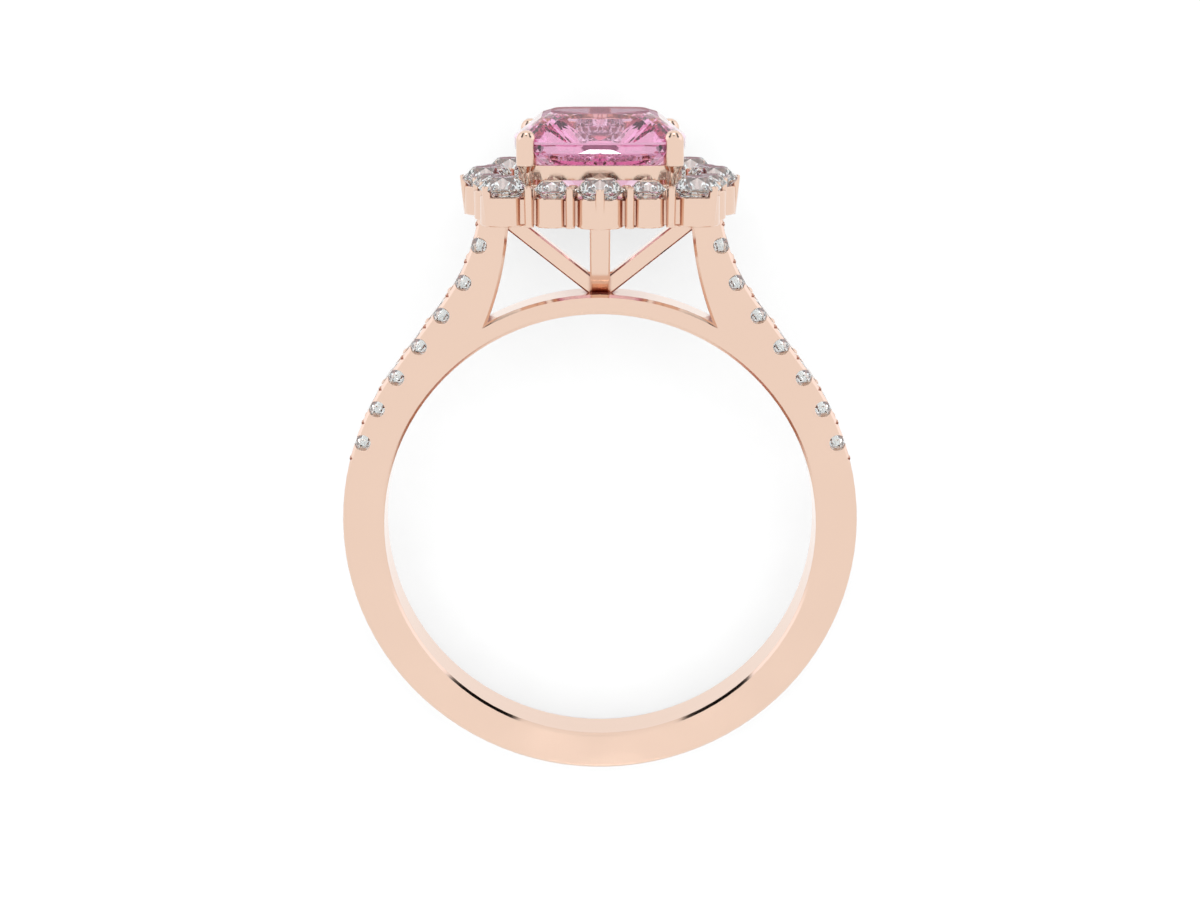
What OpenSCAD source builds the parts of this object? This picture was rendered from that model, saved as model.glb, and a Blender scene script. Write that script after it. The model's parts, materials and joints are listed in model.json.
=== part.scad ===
// Halo ring: a cushion-cut centre stone in a halo of sixteen round stones,
// on cathedral shoulders set with pavé.
//
// The ring is worked out standing up: the finger goes along Y, X is across the finger hole, Z points to
// the centre stone, and the origin is the centre of the finger hole. The last step lays it on its side,
// where it rests on the halo's lowest prong and on the palm side of the band.

/* [Band] */
// Inside diameter of the finger hole, a US size 7
finger_d = 17.35; // [15:0.05:20]
// Width of the band along the finger
band_w = 2.0; // [1.8:0.05:2.6]
// Thickness of the band at the palm
palm_t = 1.46; // [1.2:0.02:2]
// Thickness of the band at the sides of the finger
side_t = 1.64; // [1.5:0.02:2.2]
// Bevel along the edges of the band, the shoulders and the bridge
edge_bevel = 0.11; // [0.05:0.01:0.16]
// Thickness of the bridge that closes the finger hole under the halo
bridge_t = 0.78; // [0.6:0.02:1]

/* [Shoulders] */
// Height of the halo's base over the top of the finger hole
head_lift = 3.88; // [3.6:0.02:4.6]
// Half the distance across the shoulders where they meet the halo
shoulder_reach = 4.78; // [4.7:0.02:5]
// Thickness of a shoulder where it meets the halo
shoulder_t = 1.21; // [1:0.01:1.4]
// Steepness of the shoulder's outside at the halo, in degrees
sweep_end = 81; // [78:0.5:84]
// Radius of the hollow sweep outside the shoulder
sweep_r = 7.7; // [6.5:0.1:8.2]
// Steepness of the shoulder's inside at the halo, in degrees
inner_end = 88; // [85:0.5:89]
// Radius of the curve inside the shoulder
inner_r = 12.7; // [11:0.1:15]

/* [Struts] */
// Thickness of a strut, seen from the side
strut_t = 0.63; // [0.5:0.01:0.8]
// Breadth of a strut
strut_w = 0.78; // [0.6:0.01:0.95]
// Bevel along the edges of a strut
strut_bevel = 0.06; // [0.02:0.01:0.1]
// How far inside the centre of its cup a strut ends
strut_inset = 0.3; // [0.1:0.02:0.5]
// Radius of the knot where the four struts meet
knot_r = 0.5; // [0.4:0.01:0.6]

/* [Halo] */
// Diameter of the large halo stones
big_d = 1.86; // [1.7:0.01:1.92]
// Diameter of the small halo stones
small_d = 1.38; // [1.2:0.01:1.44]
// Distance from the middle of the ring to the large stones at the four sides
halo_side = 4.46; // [4.4:0.01:4.7]
// Distance from the two mid planes to the large stones at the four corners
halo_corner = 3.66; // [3.6:0.01:3.72]
// Distance from the nearer mid plane to the small stones
halo_small = 1.8; // [1.76:0.01:1.84]
// How much nearer to the middle the small stones stand than the large ones at the four sides
halo_bow = 0.24; // [0.1:0.01:0.3]
// Height of the cups under the large stones
cup_h = 1.12; // [1:0.02:1.3]
// How far the cup's wall lies inside the edge of its stone
cup_inset = 0.05; // [0.02:0.01:0.1]
// Bevel along the rim of the cups
cup_bevel = 0.04; // [0.02:0.01:0.06]
// Height of the stone's girdle over its cup
girdle_lift = 0.28; // [0.24:0.01:0.32]
// Half thickness of the webs between the cups
web_half = 0.38; // [0.36:0.01:0.46]
// How much higher the webs and the plate start than the cups
web_rise = 0.1; // [0.06:0.01:0.2]
// Radius of the halo's prongs
prong_r = 0.175; // [0.14:0.005:0.185]
// Height of the halo's prongs over the girdle of the stones
prong_rise = 0.13; // [0.1:0.01:0.2]
// How far a prong leans outward from its foot to its tip
prong_lean = 0.17; // [0.1:0.01:0.22]
// Thickness of a large stone's prong that is left outside the stone
prong_wall = 0.1; // [0.06:0.01:0.14]
// How far the prongs between two stones stand out from the line of their centres
valley_out = 0.47; // [0.44:0.01:0.5]
// Height of the plate that joins the cups to the corner prongs
plate_h = 0.4; // [0.3:0.02:0.5]

/* [Centre stone] */
// Width of the centre stone
centre_w = 6.7; // [6.5:0.05:6.8]
// Radius of the centre stone's corners
centre_corner_r = 1.4; // [1.2:0.05:1.6]
// Radius of the centre stone's bowed sides
centre_side_r = 12; // [10:0.5:16]
// Height of the middle of its girdle over the halo's base
centre_lift = 2.94; // [2.88:0.02:3.1]
// Height of its crown over the girdle
centre_crown_h = 0.97; // [0.85:0.01:1.1]
// Depth of its pavilion under the girdle
centre_pavilion_h = 2.2; // [2:0.05:2.5]
// Thickness of its girdle
centre_girdle_t = 0.25; // [0.16:0.01:0.3]
// Height of the steep bevel under its girdle
centre_bevel_h = 0.16; // [0.1:0.01:0.2]
// Radius of the upright heads of the four corner prongs
corner_prong_r = 0.39; // [0.36:0.01:0.42]
// Radius of the wires under those heads
corner_wire_r = 0.29; // [0.26:0.01:0.32]
// Height of the corner prongs over the middle of the girdle
corner_prong_rise = 0.56; // [0.5:0.02:0.66]
// How far their heads reach down under the middle of the girdle
corner_head_drop = 0.78; // [0.7:0.02:0.9]
// Height of the neck that narrows from a head to its wire
corner_neck_h = 0.4; // [0.3:0.02:0.5]
// How far a corner prong leans outward from its foot to its head
corner_prong_lean = 0.2; // [0.14:0.02:0.26]
// Height of the gallery rail's top under the middle of the girdle
rail_drop = 0.76; // [0.7:0.02:0.84]
// Height of the gallery rail
rail_h = 0.55; // [0.45:0.01:0.65]
// Thickness of the gallery rail
rail_t = 0.36; // [0.3:0.02:0.44]

/* [Shoulder stones] */
// Number of stones on each shoulder
pave_count = 7; // [5:1:7]
// Diameter of the shoulder stones
pave_d = 1.4; // [1.2:0.02:1.44]
// Distance between the centres of two shoulder stones
pave_pitch = 1.54; // [1.5:0.01:1.6]
// Distance along the shoulder from the halo's base to the first stone
pave_start = 1.1; // [1:0.02:1.3]
// Depth of the stones' girdles under the shoulder's surface
pave_sink = 0.2; // [0.17:0.01:0.24]
// Radius of the holes drilled through the sides of the shoulders
side_hole_r = 0.32; // [0.28:0.01:0.36]
// Depth of those holes' centres under the shoulder's surface
side_hole_drop = 0.29; // [0.25:0.01:0.31]
// Radius of the beads between the shoulder stones
bead_r = 0.22; // [0.18:0.01:0.24]
// Height of the beads over the shoulder's surface
bead_rise = 0.05; // [0.03:0.01:0.09]
// Distance of the beads' centres from the shoulder's sides
bead_edge = 0.32; // [0.28:0.01:0.36]
// Depth of the notches that split the beads
notch_depth = 0.09; // [0.06:0.01:0.12]

/* [Fit] */
// Gap between a stone and the metal that holds it
stone_gap = 0.025; // [0.02:0.005:0.035]

/* [Hidden] */
eps = 0.01;
lap = 0.2;
// Metal or space that a later cut or union takes away
spare = 1;
// Share of a wire's radius that its end is rounded by
wire_edge = 0.35;
// Share of the free width between two halo stones that lies on the large stone's side of the prongs
valley_split = 0.7;
gold = [0.93, 0.80, 0.72];
pink = [0.86, 0.50, 0.68];
white = [0.90, 0.92, 0.94];

// A round brilliant's cut. Heights are shares of its diameter, and the corners of its table, its stars and
// its lower halves lie at shares of its radius.
round_mains = 8;
halo_crown_share = 0.215;
pave_crown_share = 0.13;
pavilion_share = 0.43;
girdle_share = 0.03;
table_share = 0.56;
star_share = 0.78;
lower_share = 0.22;
// Share of the crown's height at its stars, and of the pavilion's depth at its lower halves
star_rise = (1 - star_share * cos(180 / round_mains)) / (1 - table_share);
lower_drop = 1 - lower_share * cos(180 / round_mains);

finger_r = finger_d / 2;
bridge_r = finger_r + bridge_t;
base_z = finger_r + head_lift;
small_r = small_d / 2;
big_r = big_d / 2;

// The outside of the band is a circle whose centre lies a little over that of the finger hole
palm_r = finger_r + palm_t;
side_r = finger_r + side_t;
band_c = (side_r * side_r - palm_r * palm_r) / (2 * palm_r);
band_r = palm_r + band_c;

function dir(a) = [cos(a), sin(a)];

// The shoulder's outside: the sweep under the halo, a straight run that touches both circles, the band
top_n = 90 - sweep_end;
sweep_c = [shoulder_reach, base_z] + sweep_r * dir(top_n);
to_sweep = sweep_c - [0, band_c];
run_n = atan2(to_sweep[1], to_sweep[0]) - acos((band_r + sweep_r) / norm(to_sweep));
run_l = sqrt(to_sweep * to_sweep - pow(band_r + sweep_r, 2));
run_top = sweep_c - sweep_r * dir(run_n);
sweep_l = sweep_r * (run_n - top_n) * PI / 180;

// Point of the outside at the distance s from the halo's base, with the direction it faces in degrees
function turned(s, r) = s / r * 180 / PI;
function outside(s) =
    s < sweep_l ? [sweep_c - sweep_r * dir(top_n + turned(s, sweep_r)), top_n + turned(s, sweep_r)]
    : s < sweep_l + run_l ? [run_top + (s - sweep_l) * dir(run_n - 90), run_n]
    : let (n = run_n - turned(s - sweep_l - run_l, band_r)) [[0, band_c] + band_r * dir(n), n];

// The shoulder's inside is a circle that meets the bridge
inner_c = [shoulder_reach - shoulder_t, base_z] + inner_r * dir(90 - inner_end);
foot_a = atan2(inner_c[1], inner_c[0])
    + acos((bridge_r * bridge_r + inner_c * inner_c - inner_r * inner_r) / (2 * bridge_r * norm(inner_c)));

// The band stops some degrees past the foot of the shoulders' inside, and the bridge runs on into the band
window_a = 90 - foot_a + 3;
bridge_a = window_a + 4;
// Metal under the outside of a shoulder, before its inside is cut
shoulder_depth = 3;

// The halo's stones: the places of the four that a quarter starts with, a large and a small one by turns
quarter_places = [
    [0, halo_side],
    [halo_small, halo_side - halo_bow],
    [halo_corner, halo_corner],
    [halo_side - halo_bow, halo_small]
];
quarter_n = len(quarter_places);
halo_n = 4 * quarter_n;
function spin(p, q) = q == 0 ? p : spin([p[1], -p[0]], q - 1);
function halo_place(i) = spin(quarter_places[i % quarter_n], floor(i / quarter_n));
function is_big(i) = i % 2 == 0;
function halo_r(i) = is_big(i) ? big_r : small_r;
girdle_z = base_z + cup_h + girdle_lift;
prong_top = girdle_z + prong_rise;

// The centre stone's outline: bowed sides between round corners whose centres lie on the diagonals
centre_half = centre_w / 2;
corner_a = acos((centre_side_r - centre_half) / ((centre_side_r - centre_corner_r) * sqrt(2))) - 45;
corner_c = (centre_side_r - centre_corner_r) * sin(corner_a);
corner_reach = corner_c * sqrt(2);
corner_tip = corner_reach + centre_corner_r + stone_gap;
centre_z = base_z + centre_lift;
table_z = centre_z + centre_girdle_t / 2 + centre_crown_h;

// The point of the outline that faces a degrees from X, worked out on the nearest side and turned to its own
function near_side(a) = abs(a) <= corner_a
    ? [centre_half - centre_side_r, 0] + centre_side_r * dir(a)
    : [corner_c, sign(a) * corner_c] + centre_corner_r * dir(a);
function turned_to(q, p) = [p[0] * cos(q) - p[1] * sin(q), p[0] * sin(q) + p[1] * cos(q)];
function outline_point(a) = let (q = 90 * round(a / 90)) turned_to(q, near_side(a - q));

// The centre stone's corners lie on rings round it. A ring is a share of the outline, its corners face these
// ways from the middle of each of the four sides, and a crown ring lies at a share of the crown's height.
ring_share = 0;
ring_ways = 1;
ring_rise = 2;
crown_rings = [
    [0.585, [-28, -7, 7, 28, 45], 1],
    [0.72, [-34, -15, 15, 34], 0.84],
    [0.87, [-40, -24, 24, 40], 0.41]
];
girdle_ways = [-35, -24, -14, -6, -2, 2, 6, 14, 24, 35, 45];
bevel_ring = [0.997, [-40, -29, -19, -10, -4, 4, 10, 19, 29, 40]];
pavilion_rings = [
    [0.86, [-30, -12, 0, 12, 30, 45]],
    [0.74, [-38, -21, -6, 6, 21, 38]],
    [0.6, [-30, -13, 0, 13, 30, 45]],
    [0.45, [-36, -12, 12, 36]],
    [0.28, [-22, 0, 22, 45]]
];
// The pavilion bulges a little over a straight cone, whose power would be 1
pavilion_power = 1.25;
function pavilion_depth(share) = centre_bevel_h + centre_pavilion_h * (1 - pow(share, pavilion_power));

// The gallery rail's inner half width, where the pavilion rests in it
rail_depth = rail_drop - centre_girdle_t / 2 - centre_bevel_h;
rail_share = pow(1 - rail_depth / centre_pavilion_h, 1 / pavilion_power);
rail_half = centre_half * rail_share + 2 * stone_gap;

// How the ring lies: turned until the lowest prong and the band's edge are level
prong_out = big_r + stone_gap + prong_wall - prong_r;
prong_foot_out = halo_side + prong_out + prong_r - prong_lean;
rim_r = palm_r - edge_bevel;
lay_tilt = atan((prong_foot_out - band_w / 2) / (base_z + rim_r));
lift = rim_r * sin(lay_tilt) + band_w / 2 * cos(lay_tilt);
far_y = table_z * cos(lay_tilt) + centre_half * crown_rings[0][ring_share] * sin(lay_tilt);
near_y = palm_r * cos(lay_tilt) + (band_w / 2 - edge_bevel) * sin(lay_tilt);
mid_y = (far_y - near_y) / 2;

module laid() {
    translate([0, -mid_y, lift])
        rotate([lay_tilt - 90, 0, 0])
            children();
}

// A disc or a bore across the finger, with its edges bevelled, about [0, 0]
module bevelled_disc(r) {
    rotate([90, 0, 0])
        rotate_extrude($fn = 96)
            polygon([
                [0, -band_w / 2], [r - edge_bevel, -band_w / 2], [r, edge_bevel - band_w / 2],
                [r, band_w / 2 - edge_bevel], [r - edge_bevel, band_w / 2], [0, band_w / 2]
            ]);
}

module bevelled_bore(r) {
    flare = edge_bevel + lap;
    rotate([90, 0, 0])
        rotate_extrude($fn = 96)
            polygon([
                [0, -band_w / 2 - lap], [r + flare, -band_w / 2 - lap], [r, edge_bevel - band_w / 2],
                [r, band_w / 2 - edge_bevel], [r + flare, band_w / 2 + lap], [0, band_w / 2 + lap]
            ]);
}

// A slab across the finger with the outline of its children
module slab(w) {
    rotate([90, 0, 0])
        linear_extrude(w, center = true)
            children();
}

// A wedge over the finger hole, the given angle to each side of the top
module top_wedge(a, w) {
    far = 2 * band_r;
    slab(w)
        polygon([[0, 0], far * dir(90 - a), [0, far], far * dir(90 + a)]);
}

module band() {
    difference() {
        translate([0, 0, band_c])
            bevelled_disc(band_r);
        top_wedge(window_a, band_w + 2 * lap);
    }
}

module bridge() {
    intersection() {
        bevelled_disc(bridge_r);
        top_wedge(bridge_a, band_w + 2 * lap);
    }
}

// Places its children on the outside of the right shoulder, with Z pointing away from the metal
module at_outside(s) {
    p = outside(s);
    translate([p[0][0], 0, p[0][1]])
        rotate([0, 90 - p[1], 0])
            children();
}

// The straight run of a shoulder, with its outer edges bevelled
module shoulder_run() {
    b = edge_bevel;
    h = band_w / 2;
    at_outside(sweep_l)
        translate([0, 0, -eps])
            rotate([90, 0, 90])
                linear_extrude(run_l)
                    polygon([
                        [-h, -shoulder_depth], [h, -shoulder_depth], [h, -b],
                        [h - b, 0], [b - h, 0], [-h, -b]
                    ]);
}

// A shoulder. Under its bevel, the part in the sweep runs a little way into the straight run.
module shoulder() {
    n = dir(run_n);
    down = dir(run_n - 90);
    top = base_z + lap;
    difference() {
        intersection() {
            union() {
                shoulder_run();
                slab(band_w)
                    polygon([
                        run_top + spare * n, run_top - edge_bevel * n, run_top + lap * (down - n),
                        run_top - shoulder_depth * n + lap * down,
                        [shoulder_reach - shoulder_t - spare, top], [shoulder_reach + spare, top]
                    ]);
            }
            translate([inner_c[0], 0, inner_c[1]])
                bevelled_disc(inner_r);
        }
        translate([sweep_c[0], 0, sweep_c[1]])
            bevelled_bore(sweep_r + 2 * eps);
    }
}

// A strut in the XZ plane, from the knot on the bridge to the cup on the right
module strut() {
    foot = [0, bridge_r];
    head = [halo_side - strut_inset, base_z + lap];
    l = norm(head - foot);
    b = strut_bevel;
    w = strut_w / 2;
    t = strut_t / 2;
    translate([foot[0], 0, foot[1]])
        rotate([0, -atan2(head[1] - foot[1], head[0] - foot[0]), 0])
            rotate([90, 0, 90])
                linear_extrude(l)
                    polygon([
                        [b - w, -t], [w - b, -t], [w, b - t], [w, t - b],
                        [w - b, t], [b - w, t], [-w, t - b], [-w, b - t]
                    ]);
}

module struts() {
    for (a = [0:90:270])
        rotate([0, 0, a])
            strut();
    translate([0, 0, bridge_r - lap])
        cylinder(r = knot_r, h = lap + strut_t / 2, $fn = 32);
}

// A round wire that leans and may taper, from a foot to a tip whose flat end has a round edge
module wire(foot, tip, foot_r, tip_r) {
    d = tip - foot;
    l = norm(d);
    edge = wire_edge * tip_r;
    round_edge = [for (a = [90:-22.5:0]) [tip_r - edge + edge * cos(a), l - edge + edge * sin(a)]];
    translate(foot)
        rotate([0, acos(d[2] / l), atan2(d[1], d[0])])
            rotate_extrude($fn = 24)
                polygon(concat([[0, 0], [0, l]], round_edge, [[foot_r, 0]]));
}

// The space of a round brilliant with its girdle's middle at the origin, widened by the gap. It is open
// above its table, or above its whole girdle, and has a hole under its tip.
module stone_space(d, crown_share, hole, open) {
    r = d / 2;
    g = (girdle_share * d + stone_gap) / 2;
    crown = crown_share * d + stone_gap;
    pavilion = pavilion_share * d + stone_gap;
    star_z = g + crown * star_rise;
    top = g + crown + spare;
    tip = [
        [0, -g - pavilion - hole], [lower_share * r, -g - pavilion - hole],
        [lower_share * r + stone_gap, -g - pavilion * lower_drop], [r + stone_gap, -g]
    ];
    head = open
        ? [[r + stone_gap, top], [0, top]]
        : [
            [r + stone_gap, g], [star_share * r + stone_gap, star_z],
            [table_share * r + stone_gap, g + crown], [table_share * r + stone_gap, top], [0, top]
        ];
    rotate_extrude($fn = 48)
        polygon(concat(tip, head));
}

module cup(i) {
    p = halo_place(i);
    r = halo_r(i) - cup_inset;
    translate([p[0], p[1], base_z])
        rotate_extrude($fn = 48)
            polygon([
                [0, 0], [r - cup_bevel, 0], [r, cup_bevel],
                [r, cup_h - cup_bevel], [r - cup_bevel, cup_h], [0, cup_h]
            ]);
}

// The web and the inner and outer prong between a halo stone and the next. The prongs stand nearer the
// small stone.
module valley(i) {
    j = (i + 1) % halo_n;
    p = halo_place(i);
    along = halo_place(j) - p;
    l = norm(along);
    free = l - halo_r(i) - halo_r(j);
    split = halo_r(i) + free * (is_big(i) ? valley_split : 1 - valley_split);
    lean = prong_lean / 2;
    r = prong_r;
    translate([p[0], p[1], 0])
        rotate([0, 0, atan2(along[1], along[0])]) {
            translate([0, -web_half, base_z + web_rise])
                cube([l, 2 * web_half, cup_h - 2 * web_rise]);
            wire([split, valley_out - lean, base_z], [split, valley_out, prong_top], r, r);
            wire([split, lean - valley_out, base_z], [split, lean - valley_out, prong_top], r, r);
        }
}

// The prong in the middle of a large stone's outer edge
module outer_prong(i) {
    p = halo_place(i);
    out = p / norm(p);
    tip = p + prong_out * out;
    foot = tip - prong_lean * out;
    wire([foot[0], foot[1], base_z], [tip[0], tip[1], prong_top], prong_r, prong_r);
}

// A square with round corners
module round_square(half, r) {
    c = half - r;
    square([2 * half, 2 * c], center = true);
    square([2 * c, 2 * half], center = true);
    for (x = [-c, c], y = [-c, c])
        translate([x, y])
            circle(r, $fn = 48);
}

// The plate in the halo's base, from the webs in to the corner prongs
module base_plate() {
    outer = halo_side - halo_bow - lap;
    inner = corner_tip - corner_prong_lean - lap;
    translate([0, 0, base_z + web_rise / 2])
        linear_extrude(plate_h)
            difference() {
                round_square(outer, centre_corner_r);
                circle(inner, $fn = 96);
            }
}

module halo() {
    for (i = [0:halo_n - 1]) {
        cup(i);
        valley(i);
    }
    for (i = [0:2:halo_n - 1])
        outer_prong(i);
    base_plate();
}

module gallery_rail() {
    outer = rail_half + rail_t;
    translate([0, 0, centre_z - rail_drop - rail_h])
        linear_extrude(rail_h)
            difference() {
                round_square(outer, centre_corner_r);
                round_square(rail_half, centre_corner_r - rail_t);
            }
}

// The upright head of a corner prong, from the foot of its neck at the origin to its domed top
module prong_head() {
    r = corner_prong_r;
    dome_z = corner_neck_h + corner_head_drop + corner_prong_rise - r;
    dome = [for (a = [0:10:80]) [r * cos(a), dome_z + r * sin(a)]];
    rotate_extrude($fn = 32)
        polygon(concat([[0, 0], [corner_wire_r / 2, 0], [r, corner_neck_h]], dome, [[0, dome_z + r]]));
}

// Each corner prong is a leaning wire whose inner side runs on into its head
module corner_prongs() {
    wire_in = corner_prong_r - corner_wire_r - 2 * eps;
    neck_z = centre_z - corner_head_drop;
    for (a = [45:90:315])
        rotate([0, 0, a]) {
            wire(
                [corner_tip - corner_prong_lean, 0, base_z + web_rise], [corner_tip - wire_in, 0, neck_z],
                corner_wire_r, corner_wire_r
            );
            translate([corner_tip, 0, neck_z - corner_neck_h])
                prong_head();
        }
}

// The space of the centre stone's four corners, cut into the corner prongs
module corner_spaces() {
    g = centre_girdle_t / 2 + stone_gap;
    reach = corner_reach + centre_corner_r;
    function at(share) = share * reach - corner_reach + stone_gap;
    bevel = bevel_ring[ring_share];
    low = pavilion_rings[0][ring_share];
    for (a = [45:90:315])
        rotate([0, 0, a])
            translate([corner_reach, 0, centre_z])
                rotate_extrude($fn = 64)
                    polygon(concat(
                        [
                            [0, -g - pavilion_depth(corner_reach / reach)],
                            [at(low), -g - pavilion_depth(low)],
                            [at(bevel), -g - pavilion_depth(bevel)],
                            [at(1), -g],
                            [at(1), g]
                        ],
                        [for (i = [len(crown_rings) - 1:-1:1]) let (row = crown_rings[i])
                            [at(row[ring_share]), g + row[ring_rise] * centre_crown_h]],
                        [[0, g + centre_crown_h]]
                    ));
}

function pave_at(k) = pave_start + k * pave_pitch;

// The beads of a shoulder: two, one at each side, before, between and after its stones
module beads() {
    y = band_w / 2 - bead_edge;
    for (k = [0:pave_count], side = [-y, y])
        at_outside(pave_at(k - 0.5))
            translate([0, side, bead_rise - bead_r])
                sphere(bead_r, $fn = 32);
}

// What is cut out of a shoulder for its stones: seats, the holes through the sides, and the beads' notches
module pave_cuts() {
    notch = notch_depth * sqrt(2);
    notch_l = 2 * bead_edge + bead_r;
    for (k = [0:pave_count - 1])
        at_outside(pave_at(k)) {
            translate([0, 0, -pave_sink])
                stone_space(pave_d, pave_crown_share, 0, true);
            translate([0, 0, -side_hole_drop])
                rotate([90, 0, 0])
                    cylinder(r = side_hole_r, h = band_w + lap, center = true, $fn = 48);
        }
    for (k = [0:pave_count], side = [-1, 1])
        at_outside(pave_at(k - 0.5))
            translate([0, side * (band_w + notch_l - 2 * bead_edge) / 2, 0])
                rotate([0, 45, 0])
                    cube([notch, notch_l, notch], center = true);
}

// Draws its children on the right shoulder and on the left
module both_sides() {
    for (a = [0, 180])
        rotate([0, 0, a])
            children();
}

module mounting_metal() {
    band();
    bridge();
    both_sides() {
        shoulder();
        beads();
    }
    struts();
    halo();
    gallery_rail();
    corner_prongs();
}

module mounting() {
    color(gold)
        laid()
            difference() {
                mounting_metal();
                bevelled_bore(finger_r);
                for (i = [0:halo_n - 1])
                    translate([halo_place(i)[0], halo_place(i)[1], girdle_z])
                        stone_space(2 * halo_r(i), halo_crown_share, lap, false);
                corner_spaces();
                both_sides()
                    pave_cuts();
            }
}

// A cut stone: the solid between all its corners
module cut_stone(corners) {
    hull()
        polyhedron(corners, [[for (i = [0:len(corners) - 1]) i]]);
}

// A round brilliant with its girdle's middle at the origin: table, stars, girdle, lower halves and tip
module brilliant(d, crown_share) {
    n = round_mains;
    r = d / 2;
    top = girdle_share * r;
    crown = crown_share * d;
    pavilion = pavilion_share * d;
    function round_ring(count, turn, share, z) =
        [for (i = [0:count - 1]) let (p = share * r * dir(turn + i * 360 / count)) [p[0], p[1], z]];
    cut_stone(concat(
        round_ring(n, 0, table_share, top + crown),
        round_ring(n, 180 / n, star_share, top + crown * star_rise),
        round_ring(2 * n, 0, 1, top),
        round_ring(2 * n, 0, 1, -top),
        round_ring(n, 180 / n, lower_share, -top - pavilion * lower_drop),
        [[0, 0, -top - pavilion]]
    ));
}

module centre_stone() {
    top = centre_girdle_t / 2;
    function outline_ring(row, z) =
        [for (q = [0:90:270], a = row[ring_ways])
            let (p = row[ring_share] * outline_point(q + a)) [p[0], p[1], z]];
    color(pink)
        laid()
            translate([0, 0, centre_z])
                cut_stone(concat(
                    [for (row = crown_rings) each outline_ring(row, top + row[ring_rise] * centre_crown_h)],
                    outline_ring([1, girdle_ways], top),
                    outline_ring([1, girdle_ways], -top),
                    [
                        for (row = concat([bevel_ring], pavilion_rings))
                            each outline_ring(row, -top - pavilion_depth(row[ring_share]))
                    ],
                    [[0, 0, -top - pavilion_depth(0)]]
                ));
}

module halo_stone(i) {
    color(white)
        laid()
            translate([halo_place(i)[0], halo_place(i)[1], girdle_z])
                brilliant(2 * halo_r(i), halo_crown_share);
}

// The stones of the right shoulder come first, from the halo down, and then those of the left
module pave_stone(i) {
    color(white)
        laid()
            rotate([0, 0, i < pave_count ? 0 : 180])
                at_outside(pave_at(i % pave_count))
                    translate([0, 0, -pave_sink])
                        brilliant(pave_d, pave_crown_share);
}

mounting();
centre_stone();
for (i = [1:halo_n])
    halo_stone(i - 1);
for (i = [1:2 * pave_count])
    pave_stone(i - 1);
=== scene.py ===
"""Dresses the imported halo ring: rose gold, a pink centre stone, white stones, a pale floor and soft light."""
import json
import math

import bpy
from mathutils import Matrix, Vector

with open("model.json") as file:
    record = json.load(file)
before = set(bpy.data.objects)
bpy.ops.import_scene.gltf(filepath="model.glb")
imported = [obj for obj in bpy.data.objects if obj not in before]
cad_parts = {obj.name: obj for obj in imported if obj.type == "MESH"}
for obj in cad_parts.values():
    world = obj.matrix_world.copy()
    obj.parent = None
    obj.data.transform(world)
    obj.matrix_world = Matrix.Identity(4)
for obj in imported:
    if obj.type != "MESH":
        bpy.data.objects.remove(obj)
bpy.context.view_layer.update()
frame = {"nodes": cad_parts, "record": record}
scene = bpy.context.scene
MM = 0.001

# Camera
# The photograph's camera, worked out on the standing ring: its distance from the middle of the finger hole, its
# height over the finger hole's axis and its pitch below that axis in degrees, and its focal length in millimetres.
# The ring lies tilted, so the camera comes out over the floor.
CAMERA_DISTANCE = 98.0 * MM
CAMERA_HEIGHT = 14.1
CAMERA_PITCH = 12.39
CAMERA_LENS = 72.46
SENSOR_WIDTH = 36.0

bore = frame["record"]["mounts"][0]
hole_middle = Vector(bore["pos_m"])
hole_axis = Vector(bore["axis"])
lean = math.degrees(math.atan2(hole_axis.y, -hole_axis.z))


def from_standing(height):
    """The direction of something that the standing ring's front sees at this height in degrees, as the ring lies."""
    a = math.radians(height - lean)
    return Vector((0.0, math.sin(a), math.cos(a)))


camera_data = bpy.data.cameras.new("camera")
camera_data.lens = CAMERA_LENS
camera_data.sensor_width = SENSOR_WIDTH
camera_data.clip_start = 1.0 * MM
camera_data.clip_end = 10000.0 * MM
camera = bpy.data.objects.new("camera", camera_data)
camera.location = hole_middle + CAMERA_DISTANCE * from_standing(CAMERA_HEIGHT)
camera.rotation_euler = (math.radians(lean - CAMERA_PITCH), 0.0, 0.0)
scene.collection.objects.link(camera)
scene.camera = camera


# Materials
GOLD_SHADES = (0.79, 0.58, 0.467), (0.81, 0.596, 0.481)
# The dark rose of the painted shade in the gold's creases.
GOLD_CREASE_SHADE = (0.42, 0.17, 0.12)
GOLD_ROUGHNESS = 0.08, 0.13
# Painted shade in the gold's creases: how open a place is to the light, where the painted shade is darkest and where
# it is gone.
CREASE_OPENNESS = 0.25, 0.7
CREASE_REACH = 0.22 * MM
SCRATCH_WAVES = (6000.0, 900.0, 900.0)
SCRATCH_DEPTH = 0.02 * MM
SCRATCH_STRENGTH = 0.02
EDGE_RADIUS = 0.03 * MM
PINK_IOR = 1.77
PINK_SHADES = (0.99, 0.97, 0.98), (0.96, 0.93, 0.95)
PINK_DEPTH = (0.78, 0.0, 0.45, 1.0)
PINK_DENSITY = 125.0
WHITE_IOR = 2.42
WHITE_SHADES = (0.9, 0.95, 0.95), (0.78, 0.84, 0.84)
BOARD_SHADES = (0.39, 0.39, 0.39), (0.41, 0.41, 0.41)
# The waves to a metre of each noise pattern, whose values lie between about the two after them.
CLOUD_WAVES, VEIL_WAVES, GRAIN_WAVES = 350.0, 900.0, 400.0
NOISE_LOW, NOISE_HIGH = 0.3, 0.7


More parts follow.
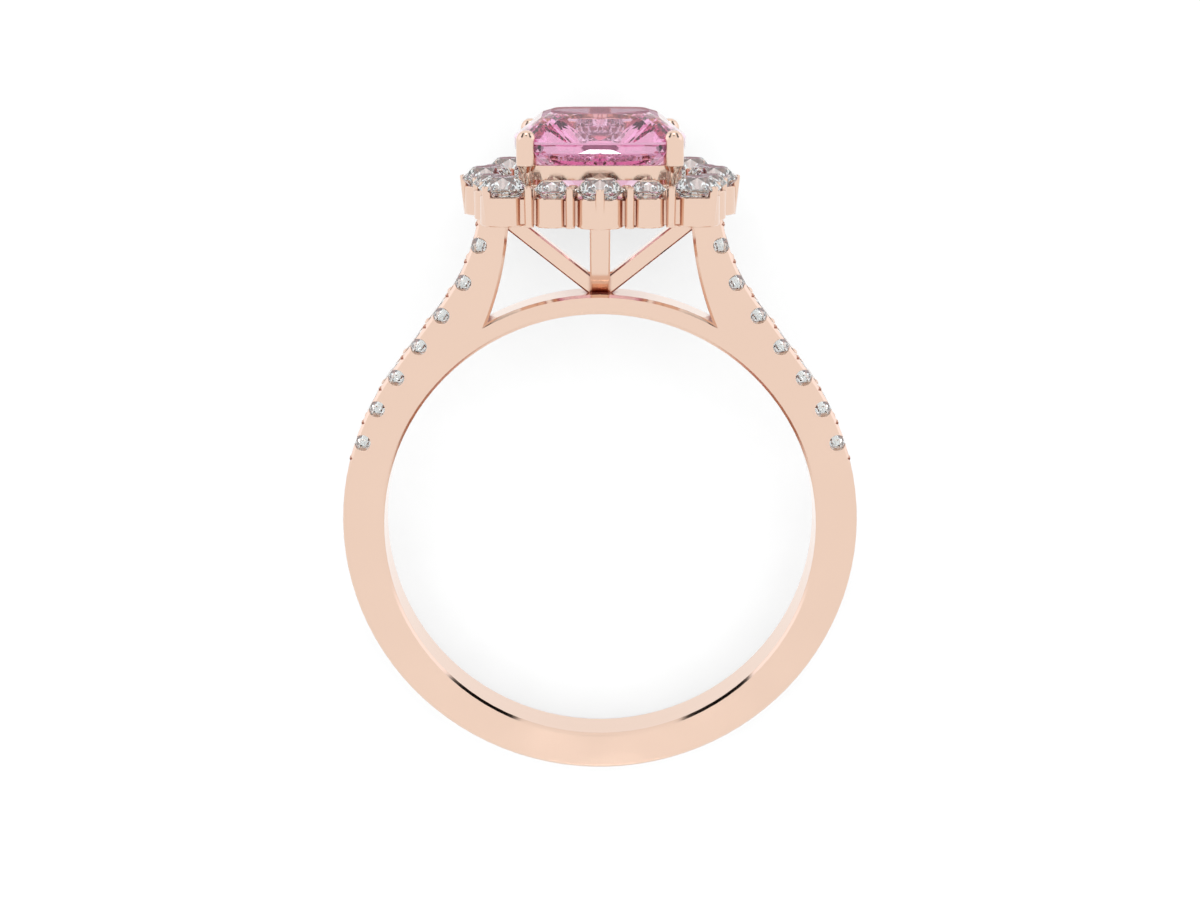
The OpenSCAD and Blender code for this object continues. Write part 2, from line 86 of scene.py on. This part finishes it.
class Finish:
    """A node material that starts from its Principled shader."""

    def __init__(self, name, **settings):
        self.material = bpy.data.materials.new(name)
        self.material.use_nodes = True
        self.tree = self.material.node_tree
        self.shader = self.tree.nodes["Principled BSDF"]
        for key, value in settings.items():
            self.shader.inputs[key.replace("_", " ")].default_value = value
        self.place = self.tree.nodes.new("ShaderNodeTexCoord").outputs["Object"]

    def add(self, kind, **inputs):
        """A new node with its inputs set to values, or linked where an output is given."""
        made = self.tree.nodes.new(kind)
        for key, value in inputs.items():
            self.put(value, made.inputs[key.replace("_", " ")])
        return made

    def put(self, value, socket):
        if isinstance(value, bpy.types.NodeSocket):
            self.tree.links.new(value, socket)
        else:
            socket.default_value = value

    def noise(self, scale, detail, roughness, where=None):
        """A noise pattern with this many waves to a metre."""
        vector = where or self.place
        made = self.add("ShaderNodeTexNoise", Vector=vector, Scale=scale, Detail=detail, Roughness=roughness)
        return made.outputs["Fac"]

    def mix(self, factor, first, second):
        """A colour between two others."""
        made = self.tree.nodes.new("ShaderNodeMix")
        made.data_type = "RGBA"
        self.put(factor, made.inputs["Factor"])
        for socket, colour in (("A", first), ("B", second)):
            index = [s.identifier for s in made.inputs].index(f"{socket}_Color")
            self.put(colour if isinstance(colour, bpy.types.NodeSocket) else (*colour, 1.0), made.inputs[index])
        return [s for s in made.outputs if s.identifier == "Result_Color"][0]

    def spread(self, value, low, high, new_low, new_high):
        """Carries the range from low to high over to a new range."""
        made = self.add(
            "ShaderNodeMapRange", Value=value, From_Min=low, From_Max=high, To_Min=new_low, To_Max=new_high
        )
        return made.outputs["Result"]


def rose_gold():
    """Polished 14 carat rose gold: faintly cloudy, with hairline scratches, soft edges and painted shade darkening its
    creases.
    """
    gold = Finish("rose_gold", Metallic=1.0)
    cloud = gold.noise(CLOUD_WAVES, 3.0, 0.5)
    tone = gold.mix(cloud, *GOLD_SHADES)

    # Painted shade: an occlusion mask darkens the creases, where little light reaches, towards a dark rose.
    crease = gold.add("ShaderNodeAmbientOcclusion", Distance=CREASE_REACH)
    crease.samples = 8
    painted_crease_shade = gold.spread(crease.outputs["AO"], *CREASE_OPENNESS, 1.0, 0.0)
    gold.put(gold.mix(painted_crease_shade, tone, GOLD_CREASE_SHADE), gold.shader.inputs["Base Color"])
    gold.put(gold.spread(cloud, NOISE_LOW, NOISE_HIGH, *GOLD_ROUGHNESS), gold.shader.inputs["Roughness"])

    stretched = gold.add("ShaderNodeMapping", Vector=gold.place, Scale=SCRATCH_WAVES)
    hairs = gold.noise(1.0, 2.0, 0.6, stretched.outputs["Vector"])
    rounded = gold.add("ShaderNodeBevel", Radius=EDGE_RADIUS)
    rounded.samples = 4
    bump = gold.add(
        "ShaderNodeBump",
        Strength=SCRATCH_STRENGTH,
        Distance=SCRATCH_DEPTH,
        Height=hairs,
        Normal=rounded.outputs["Normal"],
    )
    gold.put(bump.outputs["Normal"], gold.shader.inputs["Normal"])
    return gold.material


def gem(name, ior, clear, veiled):
    """A cut stone: clear glass of a high index with faint growth veils."""
    stone = Finish(name, Transmission_Weight=1.0, Roughness=0.0, IOR=ior)
    veil = stone.noise(VEIL_WAVES, 4.0, 0.6)
    stone.put(stone.mix(veil, clear, veiled), stone.shader.inputs["Base Color"])
    return stone


def pink_stone():
    """Its pink deepens with the way that light takes through it."""
    stone = gem("pink_stone", PINK_IOR, *PINK_SHADES)
    depth = stone.add("ShaderNodeVolumeAbsorption", Color=PINK_DEPTH, Density=PINK_DENSITY)
    stone.put(depth.outputs["Volume"], stone.tree.nodes["Material Output"].inputs["Volume"])
    return stone.material


def white_stone():
    """Nearly colourless and a little cool."""
    return gem("white_stone", WHITE_IOR, *WHITE_SHADES).material


def pale_board():
    """The floor: pale board with a very fine grain."""
    board = Finish("pale_board", Roughness=0.6)
    grain = board.noise(GRAIN_WAVES, 4.0, 0.6)
    board.put(board.mix(grain, *BOARD_SHADES), board.shader.inputs["Base Color"])
    return board.material


MATERIALS = {"rose_gold": rose_gold(), "pink_stone": pink_stone(), "white_stone": white_stone()}
for part in frame["record"]["subparts"]:
    slots = frame["nodes"][part["node"]].data.materials
    slots.clear()
    slots.append(MATERIALS[part["material_slot"]])

# Floor and light
FLOOR_RADIUS = 1.5
bpy.ops.mesh.primitive_circle_add(vertices=96, radius=FLOOR_RADIUS, fill_type="NGON", location=(0.0, 0.0, 0.0))
floor = bpy.context.object
floor.name = "floor"
floor.data.materials.append(pale_board())
floor.visible_glossy = False

# A lamp straight above brightens the floor alone, also where the ring shades it from the sky. The metal and the stones
# are lit by the sky.
FILL_IRRADIANCE = 5.6
fill_data = bpy.data.lights.new("floor_fill", "SUN")
fill_data.energy = FILL_IRRADIANCE
fill = bpy.data.objects.new("floor_fill", fill_data)
fill.visible_glossy = False
scene.collection.objects.link(fill)
lit_by_fill = bpy.data.collections.new("lit_by_fill")
lit_by_fill.objects.link(floor)
fill.light_linking.receiver_collection = lit_by_fill
fill.light_linking.blocker_collection = lit_by_fill

# Round cards hang before a white sky, each over the ones before it. The cool white ones brighten the outer edges of
# the shoulders, and the black ones give the polished edges and the facets their dark accents. The rose one lies below,
# where the stones' tables mirror it: the floor is left out of what is mirrored, because it would glare white there.
# The last card is the highlight in the centre stone's girdle. Angles are in degrees.
SKY_STRENGTH = 1.06
WHITE = (1.0, 1.0, 1.0)
BLACK = (0.0, 0.0, 0.0)
ROSE_GREY = (0.4, 0.28, 0.32)
COOL_WHITE = (1.22, 1.26, 1.34)
SOFT_LAMP = (2.5, 2.5, 2.5)
BRIGHT_LAMP = (12.0, 12.0, 12.0)
SKY_CARDS = [
    {"azimuth": 28.0, "height": 2.0, "full": 20.0, "gone": 30.0, "light": COOL_WHITE},
    {"azimuth": 152.0, "height": 2.0, "full": 20.0, "gone": 30.0, "light": COOL_WHITE},
    {"azimuth": 45.7, "height": 24.7, "full": 11.0, "gone": 14.0, "light": BLACK},
    {"azimuth": 134.3, "height": 24.7, "full": 11.0, "gone": 14.0, "light": BLACK},
    {"azimuth": 62.0, "height": 8.0, "full": 7.0, "gone": 10.0, "light": BLACK},
    {"azimuth": 118.0, "height": 8.0, "full": 7.0, "gone": 10.0, "light": BLACK},
    {"azimuth": 90.0, "height": 40.0, "full": 5.0, "gone": 8.0, "light": BLACK},
    {"azimuth": 90.0, "height": -76.0, "full": 4.0, "gone": 5.4, "light": ROSE_GREY},
    {"azimuth": 90.0, "height": 14.0, "full": 7.0, "gone": 11.0, "light": SOFT_LAMP},
    {"azimuth": 270.0, "height": 52.3, "full": 2.0, "gone": 3.5, "light": BRIGHT_LAMP},
]


def studio_sky():
    """The world, with the cards as discs round their directions, full inside one angle and gone at another."""
    world = bpy.data.worlds.new("studio")
    world.use_nodes = True
    tree = world.node_tree
    towards = tree.nodes.new("ShaderNodeTexCoord").outputs["Generated"]
    sky = None
    for card in SKY_CARDS:
        a, e = math.radians(card["azimuth"]), math.radians(card["height"])
        facing = tree.nodes.new("ShaderNodeVectorMath")
        facing.operation = "DOT_PRODUCT"
        facing.inputs[1].default_value = (math.cos(e) * math.cos(a), math.cos(e) * math.sin(a), math.sin(e))
        tree.links.new(towards, facing.inputs[0])
        rim = tree.nodes.new("ShaderNodeMapRange")
        rim.interpolation_type = "SMOOTHSTEP"
        rim.inputs["From Min"].default_value = math.cos(math.radians(card["gone"]))
        rim.inputs["From Max"].default_value = math.cos(math.radians(card["full"]))
        tree.links.new(facing.outputs["Value"], rim.inputs["Value"])
        over = tree.nodes.new("ShaderNodeMixRGB")
        tree.links.new(rim.outputs["Result"], over.inputs["Fac"])
        over.inputs["Color1"].default_value = (*WHITE, 1.0)
        if sky:
            tree.links.new(sky, over.inputs["Color1"])
        over.inputs["Color2"].default_value = (*card["light"], 1.0)
        sky = over.outputs["Color"]
    background = tree.nodes["Background"]
    tree.links.new(sky, background.inputs["Color"])
    background.inputs["Strength"].default_value = SKY_STRENGTH
    return world


scene.world = studio_sky()

# How light is traced
scene.view_settings.view_transform = "Standard"
scene.cycles.max_bounces = 24
scene.cycles.transmission_bounces = 24
scene.cycles.glossy_bounces = 12
scene.cycles.diffuse_bounces = 4
scene.cycles.caustics_reflective = False
scene.cycles.caustics_refractive = False
scene.cycles.use_denoising = True
